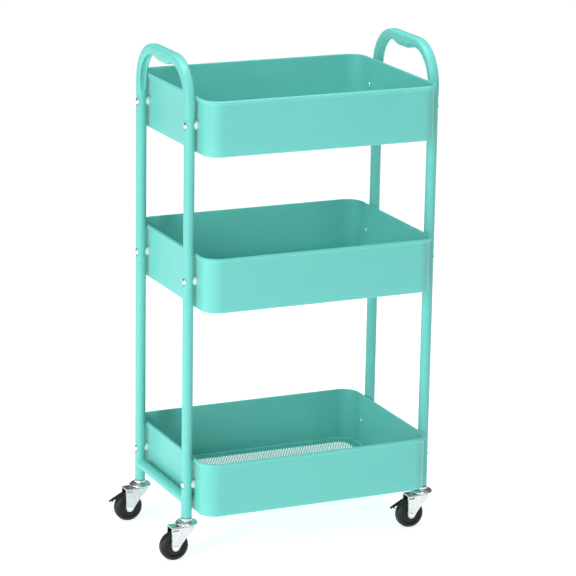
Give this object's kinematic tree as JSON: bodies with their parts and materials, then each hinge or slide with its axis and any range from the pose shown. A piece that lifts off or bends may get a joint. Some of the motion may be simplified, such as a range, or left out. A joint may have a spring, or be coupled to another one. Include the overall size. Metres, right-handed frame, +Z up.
{
  "type": "rolling utility cart",
  "caption": "Rolling utility cart: stacked open trays with rolled rims and mesh floors, hung between tube end frames with arch handles, on swivel casters.",
  "frame": {"origin": "on the floor, at the middle of the whole object's footprint, which reaches from the left brake pedal's tip to the right caster's raceway", "axes": "+X along the trays to the right, +Y across them to the back, +Z up"},
  "size_m": [0.5164, 0.32, 0.8555],
  "materials": {
    "painted_steel": "smooth semi-gloss powder coat, turquoise",
    "moulded_handle": "satin moulded plastic, turquoise",
    "zinc": "bright zinc plate",
    "spacer_plastic": "pale grey nylon",
    "wheel_black": "satin black moulded plastic",
    "brake_black": "matte black moulded plastic"
  },
  "bodies": {
    "cart_frame": {"leg_front_left": "painted_steel", "leg_back_left": "painted_steel", "crossbar_left": "painted_steel", "handle_left": "moulded_handle", "leg_front_right": "painted_steel", "leg_back_right": "painted_steel", "crossbar_right": "painted_steel", "handle_right": "moulded_handle", "tray_bottom": "painted_steel", "mesh_floor_bottom": "painted_steel", "bolt_bottom_front_left": "zinc", "spacer_bottom_front_left": "spacer_plastic", "bolt_bottom_back_left": "zinc", "spacer_bottom_back_left": "spacer_plastic", "bolt_bottom_front_right": "zinc", "spacer_bottom_front_right": "spacer_plastic", "bolt_bottom_back_right": "zinc", "spacer_bottom_back_right": "spacer_plastic", "tray_middle": "painted_steel", "mesh_floor_middle": "painted_steel", "bolt_middle_front_left": "zinc", "spacer_middle_front_left": "spacer_plastic", "bolt_middle_back_left": "zinc", "spacer_middle_back_left": "spacer_plastic", "bolt_middle_front_right": "zinc", "spacer_middle_front_right": "spacer_plastic", "bolt_middle_back_right": "zinc", "spacer_middle_back_right": "spacer_plastic", "tray_top": "painted_steel", "mesh_floor_top": "painted_steel", "bolt_top_front_left": "zinc", "spacer_top_front_left": "spacer_plastic", "bolt_top_back_left": "zinc", "spacer_top_back_left": "spacer_plastic", "bolt_top_front_right": "zinc", "spacer_top_front_right": "spacer_plastic", "bolt_top_back_right": "zinc", "spacer_top_back_right": "spacer_plastic", "caster_stem_front_left": "zinc", "caster_stem_back_left": "zinc", "caster_stem_front_right": "zinc", "caster_stem_back_right": "zinc"},
    "caster_front_left": {"fork_front_left": "zinc", "axle_front_left": "zinc"},
    "wheel_front_left": {"wheel_front_left": "wheel_black"},
    "caster_back_left": {"fork_back_left": "zinc", "axle_back_left": "zinc", "brake_pin_back_left": "zinc"},
    "wheel_back_left": {"wheel_back_left": "wheel_black"},
    "brake_back_left": {"brake_lever_back_left": "brake_black"},
    "caster_front_right": {"fork_front_right": "zinc", "axle_front_right": "zinc", "brake_pin_front_right": "zinc"},
    "wheel_front_right": {"wheel_front_right": "wheel_black"},
    "brake_front_right": {"brake_lever_front_right": "brake_black"},
    "caster_back_right": {"fork_back_right": "zinc", "axle_back_right": "zinc"},
    "wheel_back_right": {"wheel_back_right": "wheel_black"}
  },
  "joints": [
    {"name": "swivel_front_left", "type": "hinge", "parent": "cart_frame", "child": "caster_front_left", "pos_m": [-0.20475, -0.1065, 0.06], "axis": [0, 0, 1], "continuous": true},
    {"name": "spin_front_left", "type": "hinge", "parent": "caster_front_left", "child": "wheel_front_left", "pos_m": [-0.22775, -0.1065, 0.025], "axis": [0, 1, 0], "continuous": true},
    {"name": "swivel_back_left", "type": "hinge", "parent": "cart_frame", "child": "caster_back_left", "pos_m": [-0.20475, 0.1065, 0.06], "axis": [0, 0, 1], "continuous": true},
    {"name": "spin_back_left", "type": "hinge", "parent": "caster_back_left", "child": "wheel_back_left", "pos_m": [-0.22775, 0.1065, 0.025], "axis": [0, 1, 0], "continuous": true},
    {"name": "brake_back_left", "type": "hinge", "parent": "caster_back_left", "child": "brake_back_left", "pos_m": [-0.22975, 0.1065, 0.046], "axis": [0, -1, 0], "range_deg": [0, 7]},
    {"name": "swivel_front_right", "type": "hinge", "parent": "cart_frame", "child": "caster_front_right", "pos_m": [0.23925, -0.1065, 0.06], "axis": [0, 0, 1], "continuous": true},
    {"name": "spin_front_right", "type": "hinge", "parent": "caster_front_right", "child": "wheel_front_right", "pos_m": [0.21625, -0.1065, 0.025], "axis": [0, 1, 0], "continuous": true},
    {"name": "brake_front_right", "type": "hinge", "parent": "caster_front_right", "child": "brake_front_right", "pos_m": [0.21425, -0.1065, 0.046], "axis": [0, -1, 0], "range_deg": [0, 7]},
    {"name": "swivel_back_right", "type": "hinge", "parent": "cart_frame", "child": "caster_back_right", "pos_m": [0.23925, 0.1065, 0.06], "axis": [0, 0, 1], "continuous": true},
    {"name": "spin_back_right", "type": "hinge", "parent": "caster_back_right", "child": "wheel_back_right", "pos_m": [0.21625, 0.1065, 0.025], "axis": [0, 1, 0], "continuous": true}
  ]
}
